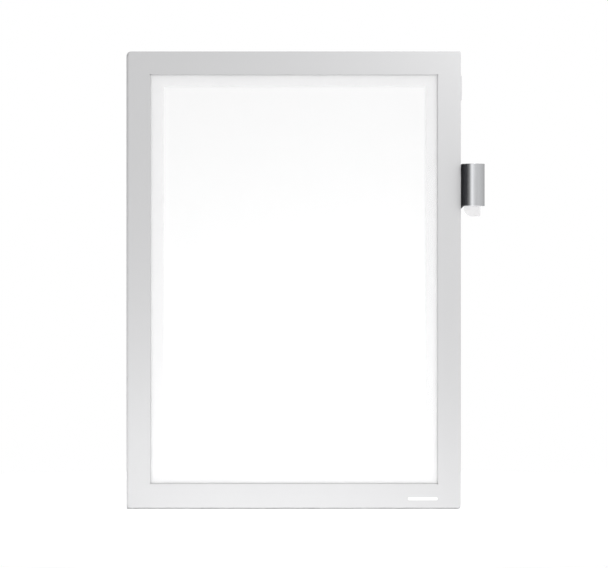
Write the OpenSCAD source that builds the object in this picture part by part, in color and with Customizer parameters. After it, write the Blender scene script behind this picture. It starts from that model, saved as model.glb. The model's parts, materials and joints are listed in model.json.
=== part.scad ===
// Slim magnetic document frame with a pen holder.
// Two thin leaves hold an A4 sheet: the rear leaf sticks to a wall, the front leaf opens like a door.
// Frame: origin on the adhesive face at the middle of the rear leaf, X right, Z up, the front faces -Y.

/* [Sheet] */
// Width of the sheet that the frame holds
sheet_w = 210; // [148:1:297]
// Height of the sheet
sheet_h = 297; // [210:1:420]
// Thickness of the sheet
sheet_t = 0.2; // [0.1:0.05:0.4]
// Free space between the sheet's edge and the magnet strips
sheet_clear = 0.5; // [0.2:0.1:2]

/* [Leaves] */
// Width of the silver border
border_w = 17; // [14:0.5:26]
// How far the border covers the sheet's edge
sheet_cover = 4; // [2:0.5:6]
// Radius of the reliefs in the corners of the front border's window
relief_r = 0.5; // [0.2:0.1:1.2]
// How much narrower the border is along the top than at the sides
window_rise = 0.5; // [0:0.1:2]
// How much further right the front border's window ends than its border width gives
window_extra = 0.6; // [0:0.1:1.2]
// Width of the clear lip inside the border
lip_w = 8; // [4:0.5:14]
// Thickness of the clear films
film_t = 0.3; // [0.2:0.05:0.5]
// Thickness of the silver facings
facing_t = 0.3; // [0.15:0.05:0.5]
// Air gap between the closed leaves
leaf_gap = 0.2; // [0.1:0.05:0.4]
// How much lower the rear leaf reaches than the front leaf
foot_proud = 1; // [0:0.1:3]
// Radius of the top left corner
corner_tl = 3; // [0.5:0.1:6]
// Radius of the top right corner
corner_tr = 1.6; // [0.5:0.1:6]
// Radius of the bottom right corner
corner_br = 2; // [0.5:0.1:6]
// Radius of the bottom left corner
corner_bl = 0.6; // [0.5:0.1:6]

/* [Magnets and adhesive] */
// Width of the free margin between the magnet strips and the leaf's edge
edge_margin = 3; // [2:0.1:5]
// Gap between what lies in the free margin and the magnet strips
margin_clear = 0.3; // [0.2:0.05:0.6]
// Thickness of the magnet strips
magnet_t = 0.6; // [0.5:0.1:1]
// Thickness of the adhesive frame
adhesive_t = 0.2; // [0.1:0.05:0.5]
// Distance of the adhesive frame from the border's edges
adhesive_inset = 1; // [0.5:0.5:4]

/* [Hinge] */
// Radius of the fold bead on the hinge axis
hinge_r = 0.55; // [0.4:0.05:0.65]
// Gap between the bead and the front leaf
hinge_gap = 0.2; // [0.15:0.05:0.5]
// Length that the hinge strip leaves free at the top and at the bottom
hinge_end = 3.5; // [1:0.5:10]

/* [Opening tab] */
// Height of the tab on the front leaf
tab_h = 17.5; // [8:0.5:30]
// How far the tab stands out of the leaf
tab_reach = 0.7; // [0.3:0.1:6]
// Distance of the tab from the leaf's top edge
tab_drop = 17; // [5:0.5:60]

/* [Plain mark] */
// Length of the mark
mark_l = 21; // [8:0.5:30]
// Height of the mark
mark_h = 2.2; // [1:0.1:5]
// Thickness of the mark
mark_t = 0.1; // [0.05:0.05:0.2]
// Distance of the mark's right end from the leaf's right edge
mark_edge = 16.4; // [4:0.1:30]
// Distance of the mark's lower side from the front leaf's lower edge
mark_rise = 5.3; // [1:0.1:9]

/* [Pen holder] */
// Outer radius of the pen sleeve
sleeve_r = 8.1; // [6:0.1:11]
// Height of the pen sleeve
sleeve_h = 29.6; // [20:0.1:50]
// Distance of the sleeve's top from the frame's top edge
sleeve_drop = 79.6; // [20:0.1:140]
// Thickness of the sleeve's steel strip
steel_t = 0.4; // [0.3:0.05:0.6]
// Gap between the frame and the sleeve
sleeve_gap = 0.2; // [0.2:0.05:2]
// Direction in which the rolled strip ends, in degrees from the right, seen from above
loop_end = 118; // [114:1:150]
// How far the holder's flat tab reaches below the sleeve
shoulder_drop = 1.9; // [0:0.1:8]
// Length of the slope between the flat tab's shoulder and the sleeve
shoulder_run = 2.1; // [1:0.1:6]
// Free space around the holder's flat tab
tab_clear = 0.5; // [0.3:0.1:2]

/* [Pen tongue] */
// How far the tongue sits to the left of the sleeve's axis
tongue_shift = 0.75; // [0:0.05:0.9]
// Thickness of the tongue
tongue_t = 0.5; // [0.3:0.05:0.8]
// How far the tongue hangs below the sleeve
tongue_drop = 7.4; // [3:0.1:12]
// Room left between the ends of the tongue's bead and the wall of the bore
bore_clear = 0.2; // [0.1:0.05:0.5]
// Lean of the resting tongue towards the front, in degrees
tongue_lean = 8; // [4:0.5:9]
// Radius of the tongue's round end
tongue_round = 6.2; // [1:0.1:8]
// Height of the anchor that holds the tongue
anchor_h = 5; // [3:0.1:8]
// Distance of the anchor from the sleeve's top
anchor_drop = 0.5; // [0.2:0.1:3]
// Radius of the bead at the tongue's upper end
bead_r = 0.6; // [0.45:0.05:0.8]
// Radial clearance of the bead in the anchor's groove
bead_fit = 0.05; // [0.02:0.01:0.1]

/* [Hidden] */
$fn = 96;
over = 1;                      // how far a cutter runs past what it cuts

// Outline of the rear leaf
leaf_w = sheet_w + 2 * (border_w - sheet_cover);
leaf_h = sheet_h + 2 * (border_w - sheet_cover);
left = -leaf_w / 2;
right = leaf_w / 2;
top = leaf_h / 2;
bottom = -leaf_h / 2;

// Depth of each layer in front of the wall
rear_border_y = adhesive_t;
rear_film_y = rear_border_y + facing_t;
rear_inner_y = rear_film_y + film_t;
parting_y = rear_inner_y + magnet_t + leaf_gap / 2;
front_magnet_y = parting_y + leaf_gap / 2;
front_film_y = front_magnet_y + magnet_t;
front_border_y = front_film_y + film_t;
mark_y = front_border_y + facing_t;

// Front leaf
hinge_x = left + hinge_r;
front_left = left + 2 * hinge_r + hinge_gap;
front_bottom = bottom + foot_proud;

// Inner and outer edges of the magnet strips
magnet_in_x = sheet_w / 2 + sheet_clear;
magnet_in_z = sheet_h / 2 + sheet_clear;
magnet_out_x = right - edge_margin;
magnet_out_z = top - edge_margin;

// Window of the front border
window_left = left + border_w;
window_right = right - border_w + window_extra;
window_bottom = front_bottom + border_w;
window_top = top - border_w + window_rise;

// Pen holder
pad_t = magnet_t - steel_t;
tab_overlap = 92;               // direction to which the loop runs inside the flat tab
bore_r = sleeve_r - steel_t;
sleeve_x = right + sleeve_gap + sleeve_r;
sleeve_y = -(rear_inner_y + pad_t + sleeve_r);
sleeve_top = top - sleeve_drop;
sleeve_bottom = sleeve_top - sleeve_h;
flat_tab_x = magnet_in_x + tab_clear;
flat_tab_bottom = sleeve_bottom - shoulder_drop;
bead_y = sleeve_y + 0.39 * bore_r;
bead_z = sleeve_top - anchor_drop - anchor_h;
anchor_face_y = bead_y - bead_r - 0.4;
tongue_l = (bead_z - sleeve_bottom + tongue_drop) / cos(tongue_lean);
bead_room = sqrt(pow(bore_r, 2) - pow(bead_y - sleeve_y + bead_r, 2));   // half the bore's width at the bead
tongue_w = 2 * (bead_room - bore_clear - tongue_shift);   // fills the bore but for its clearance
tongue_corner = 0.8;           // radius of the tongue's squarer corner

// A flat outline between two corners, with the radii of its corners, clockwise from the top left
module plate(x0, z0, x1, z1, radii) {
    corners = [[x0, z1, 1, -1, radii[0]], [x1, z1, -1, -1, radii[1]],
        [x1, z0, -1, 1, radii[2]], [x0, z0, 1, 1, radii[3]]];
    difference() {
        translate([x0, z0]) square([x1 - x0, z1 - z0]);
        for (c = corners) difference() {
            translate([c[0] + c[2] * (c[4] - over) / 2, c[1] + c[3] * (c[4] - over) / 2])
                square(c[4] + over, center = true);
            translate([c[0] + c[2] * c[4], c[1] + c[3] * c[4]]) circle(c[4]);
        }
    }
}

// A layer of the given thickness whose back lies at the given depth
module layer(depth, thickness) {
    translate([0, -depth, 0]) rotate([90, 0, 0]) linear_extrude(thickness) children();
}

// A plain rectangular strip in a layer
module strip(x0, z0, x1, z1, depth, thickness) {
    layer(depth, thickness) translate([x0, z0]) square([x1 - x0, z1 - z0]);
}

leaf_radii = [corner_tl, corner_tr, corner_br, corner_bl];

module rear_outline() { plate(left, bottom, right, top, leaf_radii); }
module front_outline() { plate(front_left, front_bottom, right, top, leaf_radii); }

// Rear leaf
module adhesive_frame() {
    inner = border_w - adhesive_inset;
    color("whitesmoke") layer(0, adhesive_t) difference() {
        plate(left + adhesive_inset, bottom + adhesive_inset, right - adhesive_inset, top - adhesive_inset,
            leaf_radii);
        translate([left + inner, bottom + inner]) square([leaf_w - 2 * inner, leaf_h - 2 * inner]);
    }
}
module rear_border() {
    color("silver") layer(rear_border_y, facing_t) difference() {
        rear_outline();
        translate([left + border_w, bottom + border_w])
            square([leaf_w - 2 * border_w, leaf_h - 2 * border_w]);
    }
}
module rear_film() { color("aliceblue", 0.4) layer(rear_film_y, film_t) rear_outline(); }
module rear_magnet(x0, z0, x1, z1) {
    color("dimgray") strip(x0, z0, x1, z1, rear_inner_y, magnet_t);
}
module rear_magnet_top() { rear_magnet(-magnet_out_x, magnet_in_z, magnet_out_x, magnet_out_z); }
module rear_magnet_bottom() { rear_magnet(-magnet_out_x, -magnet_out_z, magnet_out_x, -magnet_in_z); }
module rear_magnet_left() { rear_magnet(-magnet_out_x, -magnet_in_z, -magnet_in_x, magnet_in_z); }
module rear_magnet_right_upper() {
    rear_magnet(magnet_in_x, sleeve_top + tab_clear, magnet_out_x, magnet_in_z);
}
module rear_magnet_right_lower() {
    rear_magnet(magnet_in_x, -magnet_in_z, magnet_out_x, flat_tab_bottom - tab_clear);
}
module insert_sheet() {
    color("white") strip(-sheet_w / 2, -sheet_h / 2, sheet_w / 2, sheet_h / 2, rear_inner_y, sheet_t);
}

// The folded film on the left edge: a bead on the hinge axis and a flange on the rear film
module hinge_strip() {
    color("lightgray") {
        length = leaf_h - 2 * hinge_end;
        translate([hinge_x, -parting_y, -length / 2]) cylinder(r = hinge_r, h = length);
        translate([hinge_x, -rear_inner_y - film_t, -length / 2])
            cube([-magnet_out_x - margin_clear - hinge_x, film_t, length]);
    }
}

// Pen holder
module holder_pad() {
    color("gray") strip(flat_tab_x + tab_clear, flat_tab_bottom + tab_clear, right - tab_clear,
        sleeve_top - tab_clear, rear_inner_y, pad_t);
}
// The holder's flat tab: its lower corner slopes up to the sleeve just outside the frame
module flat_tab() {
    layer(rear_inner_y + pad_t, steel_t) polygon([
        [flat_tab_x, sleeve_top], [sleeve_x, sleeve_top], [sleeve_x, sleeve_bottom],
        [right + shoulder_run, sleeve_bottom], [right, flat_tab_bottom], [flat_tab_x, flat_tab_bottom]]);
}
// One strip of steel: the flat tab runs into the loop at its back, and the loop stops short of the tab
module pen_sleeve() {
    color("lightslategray") {
        flat_tab();
        translate([sleeve_x, sleeve_y, sleeve_bottom]) linear_extrude(sleeve_h) difference() {
            circle(sleeve_r);
            circle(bore_r);
            polygon([[0, 0], 2 * sleeve_r * [cos(tab_overlap), sin(tab_overlap)],
                2 * sleeve_r * [cos(loop_end), sin(loop_end)]]);
        }
    }
}
module tongue_anchor() {
    color("gainsboro") difference() {
        intersection() {
            translate([sleeve_x, sleeve_y, bead_z]) cylinder(r = bore_r, h = anchor_h);
            translate([sleeve_x - bore_r, anchor_face_y, bead_z]) cube([2 * bore_r, 2 * bore_r, anchor_h]);
        }
        translate([sleeve_x - bore_r, bead_y, bead_z]) rotate([0, 90, 0])
            cylinder(r = bead_r + bead_fit, h = 2 * bore_r);
    }
}

// The tongue hangs from its bead and leans to the front
module pen_tongue() {
    x0 = -tongue_w / 2 - tongue_shift;
    color("ghostwhite") translate([sleeve_x, bead_y, bead_z]) rotate([-tongue_lean, 0, 0]) {
        translate([x0, 0, 0]) rotate([0, 90, 0]) cylinder(r = bead_r, h = tongue_w);
        translate([0, tongue_t / 2, 0]) rotate([90, 0, 0]) linear_extrude(tongue_t)
            plate(x0, -tongue_l, x0 + tongue_w, 0, [bead_r / 2, bead_r / 2, tongue_corner, tongue_round]);
    }
}

// Front leaf
module front_border() {
    color("silver") layer(front_border_y, facing_t) difference() {
        front_outline();
        translate([window_left, window_bottom])
            square([window_right - window_left, window_top - window_bottom]);
        for (x = [window_left, window_right], z = [window_bottom, window_top])
            translate([x, z]) circle(relief_r);
    }
}
module front_film() {
    edge = border_w + lip_w;
    color("azure", 0.4) layer(front_film_y, film_t) difference() {
        front_outline();
        translate([front_left + edge, front_bottom + edge])
            square([right - front_left - 2 * edge, top - front_bottom - 2 * edge]);
    }
}
module front_magnet(x0, z0, x1, z1) {
    color("dimgray") strip(x0, z0, x1, z1, front_magnet_y, magnet_t);
}
module front_magnet_top() { front_magnet(-magnet_out_x, magnet_in_z, magnet_out_x, magnet_out_z); }
module front_magnet_bottom() { front_magnet(-magnet_out_x, -magnet_out_z, magnet_out_x, -magnet_in_z); }
module front_magnet_left() { front_magnet(-magnet_out_x, -magnet_in_z, -magnet_in_x, magnet_in_z); }
module front_magnet_right() { front_magnet(magnet_in_x, -magnet_in_z, magnet_out_x, magnet_in_z); }
module opening_tab() {
    tab_t = magnet_t / 2;
    tab_top = top - tab_drop;
    color("silver") layer(front_film_y - tab_t, tab_t)
        plate(magnet_out_x + margin_clear, tab_top - tab_h, right + tab_reach, tab_top,
            [0.2, tab_reach * 0.8, tab_reach * 0.8, 0.2]);
}
module plain_mark() {
    round_end = mark_h * 0.45;
    mark_right = right - mark_edge;
    mark_low = front_bottom + mark_rise;
    color("white") layer(mark_y, mark_t)
        plate(mark_right - mark_l, mark_low, mark_right, mark_low + mark_h,
            [round_end, round_end, round_end, round_end]);
}

adhesive_frame();
rear_border();
rear_film();
rear_magnet_top();
rear_magnet_bottom();
rear_magnet_left();
rear_magnet_right_upper();
rear_magnet_right_lower();
hinge_strip();
insert_sheet();
holder_pad();
pen_sleeve();
tongue_anchor();
pen_tongue();
front_border();
front_film();
front_magnet_top();
front_magnet_bottom();
front_magnet_left();
front_magnet_right();
opening_tab();
plain_mark();
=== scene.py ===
"""Looks of a slim magnetic document frame with a pen holder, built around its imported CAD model.

Every size is in metres, in the CAD model's own frame: X to the right, Z up, and the front faces -Y.
"""

import json
import logging
import math
from dataclasses import dataclass, field
from enum import Enum

import bmesh
import bpy
from mathutils import Matrix, Vector


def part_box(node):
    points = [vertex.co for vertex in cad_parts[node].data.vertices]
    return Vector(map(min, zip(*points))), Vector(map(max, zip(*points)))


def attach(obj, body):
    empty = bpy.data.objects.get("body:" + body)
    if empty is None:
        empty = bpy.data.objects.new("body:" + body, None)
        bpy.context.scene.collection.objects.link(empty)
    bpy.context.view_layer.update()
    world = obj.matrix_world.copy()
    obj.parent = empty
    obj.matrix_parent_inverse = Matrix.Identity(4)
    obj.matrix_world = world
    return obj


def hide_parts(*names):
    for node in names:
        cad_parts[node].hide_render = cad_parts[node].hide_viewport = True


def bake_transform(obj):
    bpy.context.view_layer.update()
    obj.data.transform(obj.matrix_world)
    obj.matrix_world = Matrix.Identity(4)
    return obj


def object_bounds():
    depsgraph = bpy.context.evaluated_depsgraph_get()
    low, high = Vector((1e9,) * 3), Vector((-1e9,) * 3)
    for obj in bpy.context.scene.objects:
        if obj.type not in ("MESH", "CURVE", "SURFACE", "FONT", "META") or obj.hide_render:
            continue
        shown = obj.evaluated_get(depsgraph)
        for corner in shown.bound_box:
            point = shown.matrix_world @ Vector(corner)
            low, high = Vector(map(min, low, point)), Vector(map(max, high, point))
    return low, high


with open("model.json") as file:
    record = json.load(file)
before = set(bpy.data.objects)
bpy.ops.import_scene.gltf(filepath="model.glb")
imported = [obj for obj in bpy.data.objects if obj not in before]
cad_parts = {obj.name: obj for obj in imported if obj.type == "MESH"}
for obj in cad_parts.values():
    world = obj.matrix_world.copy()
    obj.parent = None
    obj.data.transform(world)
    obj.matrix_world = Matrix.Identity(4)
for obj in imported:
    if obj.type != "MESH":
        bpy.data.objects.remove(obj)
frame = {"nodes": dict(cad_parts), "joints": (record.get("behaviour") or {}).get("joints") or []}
CAD_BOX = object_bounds()

log = logging.getLogger("document_frame")

MM = 0.001
SMOOTH_ANGLE = math.radians(40)
SHARP = math.radians(50)
FLAT = 0.95
ARC_STEP = 0.5 * MM
NEAR = 0.001 * MM
MERGE = 1e-7
LEAST_ARC_STEPS = 6
FACES_FRONT = 0.5
RIM_ANGLE = 1.0
WHITE = (1.0, 1.0, 1.0, 1.0)
MIX_FACTOR, MIX_FIRST, MIX_SECOND, MIX_RESULT = 0, 6, 7, 2

Number = float | int
Colour = tuple[float, float, float]
Radii = tuple[float, float, float, float]
SQUARE: Radii = (0.0, 0.0, 0.0, 0.0)


class Body(Enum):
    """The rigid bodies that pieces ride on."""

    REAR_LEAF = "rear_leaf"
    FRONT_LEAF = "front_leaf"
    TONGUE = "tongue"


# ---------------------------------------------------------------- shader tools


class Signal:
    """One number socket of a shader, whose arithmetic adds Math nodes."""

    def __init__(self, shader: "Shader", socket: bpy.types.NodeSocket) -> None:
        """Wraps a socket.

        Args:
            shader: The shader that the socket belongs to.
            socket: The output socket.
        """
        self.shader = shader
        self.socket = socket

    def _math(self, operation: str, *values: "Signal | Number") -> "Signal":
        """Adds a Math node with the given operation and inputs and returns its result."""
        return self.shader.node("ShaderNodeMath", {"operation": operation}, dict(enumerate(values)))

    def __add__(self, other: "Signal | Number") -> "Signal":
        """self + other."""
        return self._math("ADD", self, other)

    def __radd__(self, other: Number) -> "Signal":
        """other + self."""
        return self._math("ADD", other, self)

    def __sub__(self, other: "Signal | Number") -> "Signal":
        """self - other."""
        return self._math("SUBTRACT", self, other)

    def __rsub__(self, other: Number) -> "Signal":
        """other - self."""
        return self._math("SUBTRACT", other, self)

    def __mul__(self, other: "Signal | Number") -> "Signal":
        """self * other."""
        return self._math("MULTIPLY", self, other)

    def __rmul__(self, other: Number) -> "Signal":
        """other * self."""
        return self._math("MULTIPLY", other, self)

    def __truediv__(self, other: "Signal | Number") -> "Signal":
        """self / other."""
        return self._math("DIVIDE", self, other)

    def __pow__(self, other: "Signal | Number") -> "Signal":
        """self ** other."""
        return self._math("POWER", self, other)

    def over(self, other: "Signal | Number") -> "Signal":
        """The angle of the point (other, self), in radians."""
        return self._math("ARCTAN2", self, other)


class Shader:
    """A node tree under construction, for a material or for the world."""

    def __init__(self, tree: bpy.types.NodeTree) -> None:
        """Empties the tree.

        Args:
            tree: The node tree to fill.
        """
        self.tree = tree
        tree.nodes.clear()

    def node(self, kind: str, settings: dict, inputs: dict, output: int | str = 0) -> Signal:
        """Adds one node.

        Args:
            kind: The node's type.
            settings: Properties that are set first. A ramp's stops come as "stops".
            inputs: Values or signals by the input's name or number.
            output: Name or number of the output that is returned.

        Returns:
            The wrapped output socket.
        """
        made = self.tree.nodes.new(kind)
        for name, value in settings.items():
            if name == "stops":
                self._set_stops(made.color_ramp, value)
            else:
                setattr(made, name, value)
        for name, value in inputs.items():
            if isinstance(value, Signal):
                self.tree.links.new(value.socket, made.inputs[name])
            else:
                made.inputs[name].default_value = value
        return Signal(self, made.outputs[output]) if len(made.outputs) else Signal(self, None)

    @staticmethod
    def _set_stops(ramp: bpy.types.ColorRamp, stops: list[tuple[float, float]]) -> None:
        """Puts grey stops, given as (position, value), on a colour ramp."""
        while len(ramp.elements) < len(stops):
            ramp.elements.new(1.0)
        for element, (position, value) in zip(ramp.elements, stops):
            element.position = position
            element.color = (value, value, value, 1.0)

    def place(self) -> Signal:
        """The position on the piece, in metres."""
        return self.node("ShaderNodeTexCoord", {}, {}, "Object")

    def noise(self, scale: float, detail: float = 2.0, stretch: Colour = (1.0, 1.0, 1.0)) -> Signal:
        """A noise between 0 and 1 on the piece's own coordinates.

        Args:
            scale: Number of features in a metre.
            detail: Number of finer layers.
            stretch: Scale along each axis.

        Returns:
            The noise.
        """
        place = self.node("ShaderNodeMapping", {}, {"Vector": self.place(), "Scale": stretch})
        return self.node("ShaderNodeTexNoise", {}, {"Vector": place, "Scale": scale, "Detail": detail})

    def ramp(self, value: Signal, stops: list[tuple[float, float]]) -> Signal:
        """A grey ramp through stops of (position, value)."""
        return self.node("ShaderNodeValToRGB", {"stops": stops}, {"Fac": value})

    def mix(self, share: Signal | Number, first: Colour, second: Colour) -> Signal:
        """A colour between two colours."""
        sockets = {MIX_FACTOR: share, MIX_FIRST: (*first, 1.0), MIX_SECOND: (*second, 1.0)}
        return self.node("ShaderNodeMix", {"data_type": "RGBA"}, sockets, MIX_RESULT)

    def bump(self, height: Signal, distance: float, strength: float = 1.0) -> Signal:
        """A normal that is disturbed by a height of the given depth in metres."""
        inputs = {"Height": height, "Distance": distance, "Strength": strength}
        return self.node("ShaderNodeBump", {}, inputs, "Normal")


# ---------------------------------------------------------------- finishes


MADE: dict["Finish", bpy.types.Material] = {}


@dataclass(frozen=True)
class Finish:
    """A surface finish: its record slot and the name and look of its material."""

    name: str
    slot: str
    colour: Colour = (0.8, 0.8, 0.8)
    roughness: float = 0.5

    def times(self, share: float) -> Colour:
        """The finish's colour, multiplied by a share."""
        return tuple(c * share for c in self.colour)

    def surface(self, shader: Shader) -> dict:
        """The inputs of the Principled shader. A finish overrides this."""
        return {"Base Color": (*self.colour, 1.0), "Roughness": self.roughness}

    def material(self) -> bpy.types.Material:
        """The finished material, which is made once and then reused."""
        if self in MADE:
            return MADE[self]
        material = MADE[self] = bpy.data.materials.new(self.name)
        material.use_nodes = True
        shader = Shader(material.node_tree)
        closure = shader.node("ShaderNodeBsdfPrincipled", {}, self.surface(shader))
        shader.node("ShaderNodeOutputMaterial", {}, {"Surface": closure})
        return material


@dataclass(frozen=True)
class SilverFilm(Finish):
    """Satin metallised film: fine grain, a faint cloud in its tone, and a soft sheen."""

    metallic: float = 0.85
    grain: float = 2600.0
    grain_depth: float = 0.004 * MM

    def surface(self, shader: Shader) -> dict:
        """Silver that varies a little in tone and gloss."""
        grain = shader.noise(self.grain, 3.0)
        cloud = shader.noise(14.0, 2.0)
        tone = shader.mix(cloud * 0.6 + grain * 0.4, self.times(0.97), self.colour)
        return {
            "Base Color": tone,
            "Metallic": self.metallic,
            "Roughness": grain * 0.10 + (self.roughness - 0.05),
            "Normal": shader.bump(grain, self.grain_depth),
        }


@dataclass(frozen=True)
class ClearFilm(Finish):
    """Clear glossy film: nearly all of what lies behind it shows."""

    alpha: float = 0.2

    def surface(self, shader: Shader) -> dict:
        """A thin haze that varies slightly, and a glossy skin."""
        haze = shader.noise(30.0, 2.0)
        return {
            "Base Color": (*self.colour, 1.0),
            "Roughness": haze * 0.04 + self.roughness,
            "Alpha": haze * 0.04 + (self.alpha - 0.02),
            "IOR": 1.5,
        }


@dataclass(frozen=True)
class Paper(Finish):
    """Plain white paper with a fine fibre."""

    fibre: float = 3500.0

    def surface(self, shader: Shader) -> dict:
        """Matt white with a hint of cloud and fibre."""
        fibre = shader.noise(self.fibre, 4.0)
        cloud = shader.noise(60.0, 2.0)
        tone = shader.mix(cloud, self.times(0.985), self.colour)
        return {
            "Base Color": tone,
            "Roughness": self.roughness,
            "Specular IOR Level": 0.2,
            "Normal": shader.bump(fibre, 0.006 * MM),
        }


@dataclass(frozen=True)
class MagnetRubber(Finish):
    """Flexible magnet: dark filled rubber with fine roller lines."""

    line_pitch: float = 1800.0

    def surface(self, shader: Shader) -> dict:
        """Dark, matt and finely lined."""
        grain = shader.noise(self.line_pitch, 3.0)
        tone = shader.mix(grain, self.times(0.8), self.times(1.2))
        return {
            "Base Color": tone,
            "Roughness": grain * 0.2 + (self.roughness - 0.1),
            "Normal": shader.bump(grain, 0.01 * MM),
        }


@dataclass(frozen=True)
class StripSteel(Finish):
    """Polished strip steel with fine drawing lines along the strip."""

    def surface(self, shader: Shader) -> dict:
        """Metal with thin upright-stretched streaks and a little smear."""
        lines = shader.noise(900.0, 3.0, (1.0, 1.0, 0.04))
        smear = shader.noise(120.0, 2.0)
        return {
            "Base Color": shader.mix(lines, self.times(0.94), self.colour),
            "Metallic": 1.0,
            "Roughness": smear * 0.06 + lines * 0.06 + (self.roughness - 0.06),
            "Normal": shader.bump(lines, 0.002 * MM),
        }


@dataclass(frozen=True)
class MilkyPlastic(Finish):
    """Milky translucent plastic."""

    alpha: float = 1.0

    def surface(self, shader: Shader) -> dict:
        """Slightly cloudy white with a soft gloss."""
        cloud = shader.noise(220.0, 2.0)
        return {
            "Base Color": shader.mix(cloud, self.times(0.97), self.colour),
            "Roughness": cloud * 0.08 + (self.roughness - 0.04),
            "Subsurface Weight": 0.3,
            "Subsurface Scale": 1.0 * MM,
            "Subsurface Radius": (1.0, 1.0, 1.0),
            "Alpha": self.alpha,
        }


@dataclass(frozen=True)
class Foam(Finish):
    """Adhesive foam or tape with fine open cells."""

    cell: float = 1400.0

    def surface(self, shader: Shader) -> dict:
        """Matt with small pits."""
        cells = shader.noise(self.cell, 3.0)
        return {
            "Base Color": shader.mix(cells, self.times(0.93), self.colour),
            "Roughness": self.roughness,
            "Normal": shader.bump(cells, 0.02 * MM),
        }


@dataclass(frozen=True)
class PlainCoat(Finish):
    """An opaque print, cut edge or painted shade, with a little unevenness."""

    def surface(self, shader: Shader) -> dict:
        """Even colour with a slightly mottled gloss."""
        mottle = shader.noise(900.0, 2.0)
        return {
            "Base Color": shader.mix(mottle, self.times(0.96), self.colour),
            "Roughness": mottle * 0.1 + (self.roughness - 0.05),
        }


@dataclass(frozen=True)
class StudioFloor(Finish):
    """A pale floor that glows a little, so that it stays white next to the frame."""

    glow: float = 0.8

    def surface(self, shader: Shader) -> dict:
        """Matt near-white with a slight glow."""
        return {
            "Base Color": (*self.colour, 1.0),
            "Roughness": self.roughness,
            "Specular IOR Level": 0.0,
            "Emission Color": WHITE,
            "Emission Strength": self.glow,
        }


SILVER = SilverFilm("satin_silver", "silver_film", (0.64, 0.64, 0.646), 0.38)
FOLD_SILVER = SilverFilm("fold_film", "hinge_film", (0.62, 0.62, 0.63), 0.45)
# The window's cut edge: a grey darker than the silver, partly the cut edge's own tone and partly painted
# shade for the shadow line along the window.
CUT_EDGE_AND_SHADE = PlainCoat("cut_edge_and_shade", "silver_film", (0.55, 0.55, 0.56), 0.6)
# Near-black on the walls of the window's corner nicks: painted shade, standing for the shadow in the nicks.
NICK_SHADE = PlainCoat("nick_shade", "silver_film", (0.03, 0.03, 0.03), 0.8)
FILM = ClearFilm("glossy_clear", "clear_film", (0.93, 0.93, 0.94), 0.06, 0.16)
FILM_EDGE = ClearFilm("glossy_clear_edge", "clear_film", (0.78, 0.78, 0.8), 0.2, 0.55)
PAPER = Paper("writing_paper", "paper", (0.97, 0.97, 0.97), 0.85)
MAGNET = MagnetRubber("magnet_rubber", "magnet_strip", (0.07, 0.065, 0.06), 0.6)
STEEL = StripSteel("strip_steel", "steel", (0.83, 0.84, 0.86), 0.16)
# A near-black copy of the strip steel for the flat tab and its shoulder: painted shade for the tab's place
# in the gap beside the loop and under it.
SHADED_STEEL = StripSteel("shaded_strip_steel", "steel", (0.1, 0.1, 0.105), 0.4)
TONGUE = MilkyPlastic("milky_tongue", "tongue_plastic", (0.84, 0.83, 0.84), 0.3, 0.45)
ANCHOR = MilkyPlastic("milky_anchor", "anchor_plastic", (0.8, 0.8, 0.8), 0.4)
ADHESIVE = Foam("adhesive_foam", "adhesive", (0.88, 0.88, 0.84), 0.7)
PAD = Foam("pad_foam", "pad", (0.35, 0.35, 0.36), 0.8)
PRINT = PlainCoat("white_print", "mark_print", (0.95, 0.95, 0.95), 0.35)
FLAG = PlainCoat("flag_card", "", (0.06, 0.06, 0.065), 0.9)
FLOOR = StudioFloor("studio_floor", "", (0.92, 0.92, 0.92), 0.9)


# ---------------------------------------------------------------- mesh tools


def soften(bm: bmesh.types.BMesh, offset: float, segments: int = 2) -> None:
    """Rounds every sharp edge a little.

    Args:
        bm: The mesh.
        offset: Size of the rounding.
        segments: Number of steps in the rounding.
    """
    edges = [e for e in bm.edges if e.calc_face_angle(0.0) > SHARP]
    bmesh.ops.bevel(bm, geom=edges, offset=offset, segments=segments, profile=0.5, affect="EDGES",
                    material=-1, clamp_overlap=True)


def outline(bm: bmesh.types.BMesh, lo: Vector, hi: Vector, radii: Radii, steps: int = 0) -> None:
    """Adds a flat rectangle with rounded corners, as a loop of edges.

    Args:
        bm: The mesh that it's added to.
        lo: The lowest corner, whose Y is the plane of the rectangle.
        hi: The highest corner.
        radii: Radii of the top left, top right, bottom right and bottom left corner.
        steps: Number of steps in each corner, or 0 for a number that suits the radius.
    """
    corners = ((lo.x, hi.z), (hi.x, hi.z), (hi.x, lo.z), (lo.x, lo.z))
    verts = [bm.verts.new((x, lo.y, z)) for x, z in corners]
    bm.faces.new(verts)
    for vert, radius in zip(verts, radii):
        if radius:
            count = steps or LEAST_ARC_STEPS + int(radius / ARC_STEP)
            bmesh.ops.bevel(bm, geom=[vert], offset=radius, segments=count, profile=0.5, affect="VERTICES",
                            material=-1)
    bmesh.ops.delete(bm, geom=list(bm.faces), context="FACES_ONLY")


def thicken(bm: bmesh.types.BMesh, depth: float) -> None:
    """Turns a flat face into a closed plate that reaches back along Y by the given depth."""
    grown = bmesh.ops.extrude_face_region(bm, geom=list(bm.faces))
    moved = [g for g in grown["geom"] if isinstance(g, bmesh.types.BMVert)]
    bmesh.ops.translate(bm, verts=moved, vec=(0.0, depth, 0.0))
    bmesh.ops.recalc_face_normals(bm, faces=bm.faces)


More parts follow.
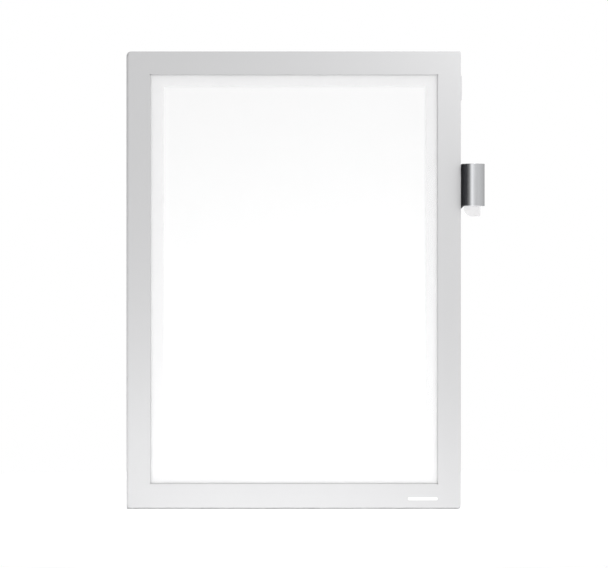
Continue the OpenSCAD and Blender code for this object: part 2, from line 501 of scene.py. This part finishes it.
def plate(lo: Vector, hi: Vector, radii: Radii = SQUARE, window: tuple[Vector, Vector] | None = None,
          reliefs: Radii = SQUARE) -> bmesh.types.BMesh:
    """A flat plate between two corners, which may have a window.

    Args:
        lo: The lowest corner.
        hi: The highest corner.
        radii: Radii of its corners, clockwise from the top left.
        window: The window's lowest and highest corner, or None for no window.
        reliefs: How far each of the window's corners is cut out, in the same order.

    Returns:
        The closed plate.
    """
    bm = bmesh.new()
    outline(bm, lo, hi, radii)
    if window:
        known = set(bm.verts)
        outline(bm, Vector((window[0].x, lo.y, window[0].z)), window[1], reliefs, 2)
        middle, half = (window[0] + window[1]) / 2, (window[1] - window[0]) / 2
        for vert in set(bm.verts) - known:
            arm = vert.co - middle
            beside = (half.x - abs(arm.x), half.z - abs(arm.z))
            if min(beside) > NEAR:
                across, along = (math.copysign(2 * gap, part) for gap, part in zip(beside, (arm.x, arm.z)))
                vert.co += Vector((across, 0.0, along))
    bmesh.ops.triangle_fill(bm, edges=list(bm.edges), use_dissolve=True, normal=(0.0, -1.0, 0.0))
    thicken(bm, hi.y - lo.y)
    return bm


def pull(bm: bmesh.types.BMesh, edge: bmesh.types.BMEdge, way: Colour) -> bmesh.types.BMEdge:
    """Extrudes an edge along a way and returns the new edge."""
    grown = bmesh.ops.extrude_edge_only(bm, edges=[edge])["geom"]
    bmesh.ops.translate(bm, verts=[g for g in grown if isinstance(g, bmesh.types.BMVert)], vec=way)
    return next(g for g in grown if isinstance(g, bmesh.types.BMEdge) and all(v in grown for v in g.verts))


def pivot(body: Body) -> tuple[float, float, float]:
    """Where the joint stands that carries a body."""
    return tuple(next(j for j in frame["joints"] if j["child"] == body.value)["pos_m"])


def shrink(lo: Vector, hi: Vector, border: float) -> tuple[Vector, Vector]:
    """The corners of the window that a border of an even width leaves."""
    inset = Vector((border, 0.0, border))
    return lo + inset, hi - inset


def make_piece(name: str, bm: bmesh.types.BMesh, finishes: list[Finish], body: Body | None,
               stands_for: tuple[str, ...] = ()) -> bpy.types.Object:
    """Turns a mesh into a dressed piece that rides on its body.

    Args:
        name: Name of the piece.
        bm: Its mesh, which is used up.
        finishes: Its finishes. The first one is the finish that the record names.
        body: The body that it rides on, or None for a piece that is left on no body.
        stands_for: CAD nodes that it replaces.

    Returns:
        The piece.
    """
    mesh = bpy.data.meshes.new(name)
    bm.to_mesh(mesh)
    bm.free()
    for finish in finishes:
        mesh.materials.append(finish.material())
    mesh.shade_smooth()
    mesh.set_sharp_from_angle(angle=SMOOTH_ANGLE)
    piece = bpy.data.objects.new(name, mesh)
    bpy.context.scene.collection.objects.link(piece)
    if body:
        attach(piece, body.value)
        weigh = piece.modifiers.new("weighted_normals", "WEIGHTED_NORMAL")
        weigh.keep_sharp = True
    if stands_for:
        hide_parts(*stands_for)
    log.info("%s: %d faces", name, len(mesh.polygons))
    return piece


def dress(node: str, finish: Finish) -> None:
    """Gives a CAD node that stays in view its finish."""
    mesh = frame["nodes"][node].data
    mesh.materials.clear()
    mesh.materials.append(finish.material())
    log.info("%s: CAD node in %s", node, finish.name)


# ---------------------------------------------------------------- sub-assemblies


@dataclass
class Leaf:
    """What the two leaves share: their corners and the rounding of their thin edges."""

    corner_radii: Radii = (3.0 * MM, 1.6 * MM, 2.0 * MM, 0.6 * MM)
    border_width: float = 17.0 * MM
    film_round: float = 0.05 * MM
    magnet_round: float = 0.08 * MM

    def magnet(self, node: str, body: Body) -> None:
        """A magnet strip with softened edges."""
        lo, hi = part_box(node)
        bm = plate(lo, hi)
        soften(bm, self.magnet_round)
        make_piece(node.replace("magnet", "strip"), bm, [MAGNET], body, (node,))

    def facing(self, name: str, node: str, body: Body) -> None:
        """A silver facing with rounded corners and a window."""
        lo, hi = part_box(node)
        bm = plate(lo, hi, self.corner_radii, shrink(lo, hi, self.border_width))
        soften(bm, self.film_round)
        make_piece(name, bm, [SILVER], body, (node,))

    def clear(self, name: str, node: str, body: Body, border: float = 0.0) -> None:
        """A clear film, whose cut edges catch more light than its faces."""
        lo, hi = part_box(node)
        bm = plate(lo, hi, self.corner_radii, shrink(lo, hi, border) if border else None)
        for face in bm.faces:
            face.material_index = 0 if abs(face.normal.y) > FACES_FRONT else 1
        make_piece(name, bm, [FILM, FILM_EDGE], body, (node,))


@dataclass
class RearLeaf(Leaf):
    """The leaf that stays on the wall: adhesive, silver facing, clear film, magnets and the sheet."""

    adhesive_inset: float = 1.0 * MM
    adhesive_round: float = 0.03 * MM
    paper_bulge: float = 0.25 * MM
    paper_taper: float = 0.6
    paper_steps: tuple[int, int] = (42, 60)

    def build(self) -> None:
        """Makes all the pieces of the leaf."""
        self.adhesive()
        self.facing("rear_facing", "rear_border", Body.REAR_LEAF)
        self.clear("rear_clear_film", "rear_film", Body.REAR_LEAF)
        for node in ("rear_magnet_top", "rear_magnet_bottom", "rear_magnet_left",
                     "rear_magnet_right_upper", "rear_magnet_right_lower"):
            self.magnet(node, Body.REAR_LEAF)
        self.sheet()

    def adhesive(self) -> None:
        """The adhesive frame on the back."""
        lo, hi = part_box("adhesive_frame")
        window = shrink(lo, hi, self.border_width - 2 * self.adhesive_inset)
        bm = plate(lo, hi, self.corner_radii, window)
        soften(bm, self.adhesive_round)
        make_piece("adhesive_ring", bm, [ADHESIVE], Body.REAR_LEAF, ("adhesive_frame",))

    def sheet(self) -> None:
        """The sheet of paper, which bellies forward very slightly between its edges."""
        lo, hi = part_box("insert_sheet")
        middle = (lo + hi) / 2
        half = (hi - lo) / 2
        bm = bmesh.new()
        bmesh.ops.create_grid(bm, x_segments=self.paper_steps[0], y_segments=self.paper_steps[1], size=1.0)
        bmesh.ops.transform(bm, verts=bm.verts, matrix=Matrix.Translation((middle.x, lo.y, middle.z))
                            @ Matrix.Rotation(math.radians(90), 4, "X")
                            @ Matrix.Diagonal((half.x, half.z, 1.0, 1.0)))
        bmesh.ops.solidify(bm, geom=bm.faces, thickness=hi.y - lo.y)
        for vert in bm.verts:
            across = (vert.co.x - middle.x) / half.x
            along = (vert.co.z - middle.z) / half.z
            vert.co.y -= self.paper_bulge * (1 - across ** 2) * (1 - self.paper_taper * along ** 2)
        bmesh.ops.recalc_face_normals(bm, faces=bm.faces)
        make_piece("paper_sheet", bm, [PAPER], Body.REAR_LEAF, ("insert_sheet",))


@dataclass
class FrontLeaf(Leaf):
    """The leaf that opens: silver facing, clear film with its lip, magnets, opening tab and mark."""

    lip_width: float = 8.0 * MM
    cut_slope: float = 0.25 * MM
    tab_radius: float = 0.56 * MM
    mark_end: float = 0.45
    window_rise: float = 0.5 * MM
    window_extra: float = 0.6 * MM
    # Cut-out sizes of the window's corners; the larger ones at the top left and bottom right show more of
    # the painted nick shade.
    reliefs: Radii = (0.8 * MM, 0.3 * MM, 0.6 * MM, 0.3 * MM)
    nick_shade_area: float = 4 * MM * MM

    def build(self) -> None:
        """Makes all the pieces of the leaf."""
        self.border()
        self.clear("front_clear_film", "front_film", Body.FRONT_LEAF, self.border_width + self.lip_width)
        for side in ("top", "bottom", "left", "right"):
            self.magnet(f"front_magnet_{side}", Body.FRONT_LEAF)
        self.tab()
        self.mark()

    def border(self) -> None:
        """The silver facing. Its cut edge round the window slopes, and the window's corners are nicked. The
        cut edge is painted a darker grey that also stands for the shade line along the window, and the
        nicks' walls are painted near-black as shade.
        """
        lo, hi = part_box("front_border")
        window_lo, window_hi = shrink(lo, hi, self.border_width)
        window_lo.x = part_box("rear_border")[0].x + self.border_width
        window_hi.z += self.window_rise
        window_hi.x += self.window_extra
        bm = plate(lo, hi, self.corner_radii, (window_lo, window_hi), self.reliefs)
        middle, half = (window_lo + window_hi) / 2, (window_hi - window_lo) / 2
        reach = half + Vector((1.0, 0.0, 1.0)) * 2 * max(self.reliefs)
        for vert in bm.verts:
            arm = vert.co - middle
            if abs(arm.x) < reach.x and abs(arm.z) < reach.z and vert.co.y < (lo.y + hi.y) / 2:
                vert.co.x += math.copysign(self.cut_slope, arm.x)
                vert.co.z += math.copysign(self.cut_slope, arm.z)
        bm.normal_update()
        # Walls of the sloping cut edge get the darker grey (painted shade line along the window); the small
        # walls of the corner nicks get near-black (painted shade).
        for face in bm.faces:
            arm = face.calc_center_median() - middle
            if abs(arm.x) < reach.x and abs(arm.z) < reach.z and abs(face.normal.y) < FLAT:
                face.material_index = 2 if face.calc_area() < self.nick_shade_area else 1
        rim = [e for e in bm.edges if e.calc_face_angle(0.0) > SHARP
               and not any(f.material_index for f in e.link_faces)]
        bmesh.ops.bevel(bm, geom=rim, offset=self.film_round, segments=2, profile=0.5, affect="EDGES",
                        material=-1, clamp_overlap=True)
        make_piece("front_facing", bm, [SILVER, CUT_EDGE_AND_SHADE, NICK_SHADE], Body.FRONT_LEAF, ("front_border",))

    def tab(self) -> None:
        """The tab that a fingertip lifts."""
        corner = 2 * self.film_round
        bm = plate(*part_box("opening_tab"), (corner, self.tab_radius, self.tab_radius, corner))
        soften(bm, self.film_round)
        make_piece("finger_tab", bm, [SILVER], Body.FRONT_LEAF, ("opening_tab",))

    def mark(self) -> None:
        """The plain printed bar."""
        lo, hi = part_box("plain_mark")
        bm = plate(lo, hi, ((hi.z - lo.z) * self.mark_end,) * 4)
        make_piece("printed_bar", bm, [PRINT], Body.FRONT_LEAF, ("plain_mark",))


@dataclass
class FoldedHinge:
    """The film that folds round the left edge and joins the two leaves."""

    film_thickness: float = 0.12 * MM
    fold_steps: int = 24

    def build(self) -> None:
        """A U-shaped strip: a rear arm, a front arm and the fold round the left edge between them."""
        lo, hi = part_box("hinge_strip")
        axis_x, axis_y, _ = pivot(Body.FRONT_LEAF)
        radius = (axis_x - lo.x) - self.film_thickness / 2
        bm = bmesh.new()
        foot = bm.verts.new((hi.x, axis_y + radius, lo.z))
        head = bm.verts.new((hi.x, axis_y + radius, hi.z))
        edge = bm.edges.new((foot, head))
        edge = pull(bm, edge, (axis_x - hi.x, 0.0, 0.0))
        spun = bmesh.ops.spin(bm, geom=[edge, *edge.verts], cent=(axis_x, axis_y, 0.0), axis=(0.0, 0.0, 1.0),
                              dvec=(0.0, 0.0, 0.0), angle=math.pi, steps=self.fold_steps, use_merge=False)
        last = next(g for g in spun["geom_last"] if isinstance(g, bmesh.types.BMEdge))
        pull(bm, last, (hi.x - axis_x, 0.0, 0.0))
        bmesh.ops.remove_doubles(bm, verts=bm.verts, dist=MERGE)
        bmesh.ops.recalc_face_normals(bm, faces=bm.faces)
        bmesh.ops.solidify(bm, geom=bm.faces, thickness=self.film_thickness)
        bmesh.ops.recalc_face_normals(bm, faces=bm.faces)
        piece = make_piece("fold_strip", bm, [FOLD_SILVER], None, ("hinge_strip",))
        axis_y + radius
        axis_y - radius
        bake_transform(piece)


@dataclass
class PenHolder:
    """The rolled steel sleeve, its adhesive pad, and the milky tongue with its anchor."""

    steel_thickness: float = 0.4 * MM
    shoulder_drop: float = 1.9 * MM
    shoulder_run: float = 2.1 * MM
    loop_start: float = math.radians(90.0)
    loop_end: float = math.radians(118.0)
    loop_steps: int = 96
    rim_round: float = 0.12 * MM
    tongue_thickness: float = 0.5 * MM
    tongue_lean: float = math.radians(8.0)
    tongue_round: float = 6.2 * MM
    tongue_corner: float = 0.8 * MM
    bead_radius: float = 0.6 * MM
    bead_steps: int = 24
    bead_round: float = 0.15 * MM
    blade_round: float = 0.12 * MM
    pad_round: float = 0.04 * MM

    def build(self) -> None:
        """Makes all the pieces of the holder."""
        self.sleeve()
        self.pad()
        self.tongue()
        dress("tongue_anchor", ANCHOR)

    def sleeve(self) -> None:
        """One strip of steel: a flat tab that runs into a loop. The flat tab's front is painted with a
        near-black copy of the steel, as shade.
        """
        lo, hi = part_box("pen_sleeve")
        radius = (hi.y - lo.y) / 2
        centre = Vector((hi.x - radius, (lo.y + hi.y) / 2, 0.0))
        bottom = lo.z + self.shoulder_drop
        frame_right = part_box("rear_film")[1].x
        middle = radius - self.steel_thickness / 2
        bm = bmesh.new()
        low = bm.verts.new((centre.x, centre.y + middle, bottom))
        high = bm.verts.new((centre.x, centre.y + middle, hi.z))
        start = bm.edges.new((low, high))
        turn = self.loop_end - self.loop_start - 2 * math.pi
        bmesh.ops.spin(bm, geom=[start, low, high], cent=centre, axis=(0.0, 0.0, 1.0), dvec=(0.0, 0.0, 0.0),
                       angle=turn, steps=self.loop_steps, use_merge=False)
        edge = start
        for x, drop in ((frame_right + self.shoulder_run, 0.0), (frame_right, self.shoulder_drop),
                        (lo.x, self.shoulder_drop)):
            here = edge.verts[0].co.x
            edge = pull(bm, edge, (x - here, 0.0, 0.0))
            foot = min(edge.verts, key=lambda v: v.co.z)
            foot.co.z = bottom - drop
        bmesh.ops.remove_doubles(bm, verts=bm.verts, dist=MERGE)
        bmesh.ops.recalc_face_normals(bm, faces=bm.faces)
        bmesh.ops.solidify(bm, geom=bm.faces, thickness=self.steel_thickness)
        self.centre_wall(bm, centre, radius)
        bmesh.ops.recalc_face_normals(bm, faces=bm.faces)
        soften(bm, self.rim_round, 3)
        # The flat tab and its shoulder take the near-black steel: painted shade where the tab sits in the
        # shade of the loop and the frame.
        shaded_tab_front = hi.y - 2 * self.steel_thickness
        for face in bm.faces:
            place = face.calc_center_median()
            face.material_index = int(place.x < frame_right + self.shoulder_run and place.y > shaded_tab_front)
        sleeve = make_piece("steel_sleeve", bm, [STEEL, SHADED_STEEL], Body.REAR_LEAF, ("pen_sleeve",))
        sleeve.visible_shadow = False

    def centre_wall(self, bm: bmesh.types.BMesh, centre: Vector, radius: float) -> None:
        """Moves the wall in or out so that its outer side has the sleeve's own radius."""
        farthest = max((v.co - centre).xy.length for v in bm.verts if v.co.x > centre.x)
        extra = farthest - radius
        for vert in bm.verts:
            arm = (vert.co - centre).xy
            if vert.co.x < centre.x - NEAR and vert.co.y > centre.y + radius - 1.5 * self.steel_thickness:
                vert.co.y -= extra
            elif arm.length > NEAR:
                vert.co.xy -= arm.normalized() * extra

    def pad(self) -> None:
        """The foam tape behind the flat tab."""
        lo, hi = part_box("holder_pad")
        bm = plate(lo, hi)
        soften(bm, self.pad_round)
        make_piece("foam_tape", bm, [PAD], Body.REAR_LEAF, ("holder_pad",))

    def tongue(self) -> None:
        """The tongue: a leaning blade with one large round corner, hung from a bead."""
        hang = Vector(pivot(Body.TONGUE))
        lo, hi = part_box("pen_tongue")
        length = (hang.z - lo.z - self.tongue_thickness / 2 * math.sin(self.tongue_lean)) \
            / math.cos(self.tongue_lean)
        half = self.tongue_thickness / 2
        left, right = lo.x - hang.x, hi.x - hang.x
        low, high = Vector((left, -half, -length)), Vector((right, half, 0.0))
        bm = plate(low, high, (half, half, self.tongue_corner, self.tongue_round))
        soften(bm, self.blade_round, 2)
        turn = Matrix.Rotation(math.radians(90), 4, "Y")
        middle = Matrix.Translation(((left + right) / 2, 0.0, 0.0))
        bead = bmesh.ops.create_cone(bm, cap_ends=True, segments=self.bead_steps, radius1=self.bead_radius,
                                     radius2=self.bead_radius, depth=right - left, matrix=middle @ turn)
        rims = {e for v in bead["verts"] for e in v.link_edges if e.calc_face_angle(0.0) > RIM_ANGLE}
        bmesh.ops.bevel(bm, geom=list(rims), offset=self.bead_round, segments=2, profile=0.5, affect="EDGES",
                        material=-1)
        bmesh.ops.transform(bm, verts=bm.verts, matrix=Matrix.Translation(hang)
                            @ Matrix.Rotation(-self.tongue_lean, 4, "X"))
        make_piece("milky_tongue", bm, [TONGUE], Body.TONGUE, ("pen_tongue",))


# ---------------------------------------------------------------- studio


@dataclass(frozen=True)
class Softbox:
    """A soft area light."""

    name: str
    place: Colour
    aim: Colour
    width: float
    height: float
    watts: float

    def build(self) -> None:
        """Adds the light."""
        data = bpy.data.lights.new(self.name, "AREA")
        data.shape = "RECTANGLE"
        data.size, data.size_y = self.width, self.height
        data.energy = self.watts
        light = bpy.data.objects.new(self.name, data)
        light.location = self.place
        way = Vector(self.aim) - Vector(self.place)
        light.rotation_euler = way.to_track_quat("-Z", "Y").to_euler()
        bpy.context.scene.collection.objects.link(light)


@dataclass
class Studio:
    """Floor, surroundings, lights and camera."""

    lens: float = 200.0
    sensor: float = 36.0
    view_width: float = 0.429
    aim_right: float = 7.3 * MM
    aim_up: float = -2.6 * MM
    floor_radius: float = 0.5
    floor_gap: float = 0.2 * MM
    room_light: float = 0.8
    room: tuple[tuple[float, float], ...] = (
        (0.0, 0.45), (0.10, 0.10), (0.33, 0.11), (0.375, 0.18), (0.40, 0.36), (0.425, 0.80), (0.45, 1.20),
        (0.49, 1.20), (0.515, 0.95), (0.56, 0.74), (0.60, 0.76), (0.66, 0.78), (0.80, 0.66), (1.0, 0.45))
    flag_depth: float = 18.0 * MM
    flag_gap: float = 0.15 * MM
    lights: list[Softbox] = field(default_factory=lambda: [
        Softbox("key_right_high", (0.45, -1.0, 0.50), (0.0, 0.0, 0.0), 0.4, 0.4, 3.07),
        Softbox("fill_left_low", (-0.60, -0.70, -0.11), (-0.1, 0.0, -0.12), 0.3, 0.08, 0.585),
        Softbox("glow_low", (-0.05, -0.50, -0.13), (-0.05, 0.0, -0.15), 0.3, 0.05, 0.06),
    ])

    def build(self) -> None:
        """Sets up the studio."""
        self.camera()
        self.floor()
        self.flag()
        self.surroundings()
        for light in self.lights:
            light.build()
        bpy.context.scene.view_settings.view_transform = "Standard"

    def camera(self) -> None:
        """The camera: straight in front of the frame, from far away."""
        data = bpy.data.cameras.new("camera")
        data.lens = self.lens
        data.sensor_width = self.sensor
        camera = bpy.data.objects.new("camera", data)
        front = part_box("front_border")[0].y
        distance = self.view_width * self.lens / self.sensor
        camera.location = (self.aim_right, front - distance, self.aim_up)
        camera.rotation_euler = (math.radians(90), 0.0, 0.0)
        bpy.context.scene.collection.objects.link(camera)
        bpy.context.scene.camera = camera

    def floor(self) -> None:
        """A round pale floor just below the frame."""
        bm = bmesh.new()
        bmesh.ops.create_circle(bm, cap_ends=True, segments=96, radius=self.floor_radius)
        bmesh.ops.translate(bm, verts=bm.verts, vec=(0.0, 0.0, CAD_BOX[0].z - self.floor_gap))
        self.prop("floor", bm, FLOOR)

    def flag(self) -> None:
        """A black card left of the sleeve, which only reflections see: it darkens the steel's left side."""
        sleeve_lo, sleeve_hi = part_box("pen_sleeve")
        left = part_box("rear_film")[1].x + self.flag_gap
        bm = bmesh.new()
        middle = Vector((left, -self.flag_depth / 2, (sleeve_lo.z + sleeve_hi.z) / 2))
        bmesh.ops.create_grid(bm, size=0.5, matrix=Matrix.Translation(middle)
                              @ Matrix.Diagonal((1.0, self.flag_depth, sleeve_hi.z - sleeve_lo.z, 1.0))
                              @ Matrix.Rotation(math.radians(90), 4, "Y"))
        card = self.prop("flag", bm, FLAG)
        card.visible_camera = card.visible_diffuse = card.visible_shadow = False

    @staticmethod
    def prop(name: str, bm: bmesh.types.BMesh, finish: Finish) -> bpy.types.Object:
        """Puts a studio prop in the scene, which is no part of the frame."""
        mesh = bpy.data.meshes.new(name)
        bm.to_mesh(mesh)
        bm.free()
        mesh.materials.append(finish.material())
        prop = bpy.data.objects.new(name, mesh)
        bpy.context.scene.collection.objects.link(prop)
        return prop

    def surroundings(self) -> None:
        """White behind the frame, and for its reflections a room that is dark on the left."""
        world = bpy.data.worlds.new("studio")
        world.use_nodes = True
        bpy.context.scene.world = world
        shader = Shader(world.node_tree)
        way = shader.node("ShaderNodeTexCoord", {}, {}, "Generated")
        parts = self.split(shader, way)
        azimuth = parts[0].over(parts[1] * -1.0) / (2 * math.pi) + 0.5
        room = shader.ramp(azimuth, list(self.room))
        seen = shader.node("ShaderNodeLightPath", {}, {}, "Is Camera Ray")
        sockets = {MIX_FACTOR: seen, MIX_FIRST: room, MIX_SECOND: WHITE}
        colour = shader.node("ShaderNodeMix", {"data_type": "RGBA"}, sockets, MIX_RESULT)
        strength = seen * (1.0 - self.room_light) + self.room_light
        background = shader.node("ShaderNodeBackground", {}, {"Color": colour, "Strength": strength})
        shader.node("ShaderNodeOutputWorld", {}, {"Surface": background})

    @staticmethod
    def split(shader: Shader, vector: Signal) -> list[Signal]:
        """The three parts of a vector."""
        first = shader.node("ShaderNodeSeparateXYZ", {}, {"Vector": vector})
        node = first.socket.node
        return [Signal(shader, socket) for socket in node.outputs]


def main() -> None:
    """Builds every sub-assembly and the studio."""
    logging.basicConfig(level=logging.INFO, format="%(name)s: %(message)s")
    for part in (RearLeaf(), FrontLeaf(), FoldedHinge(), PenHolder(), Studio()):
        log.info("building %s", type(part).__name__)
        part.build()


if __name__ == "__main__":
    main()
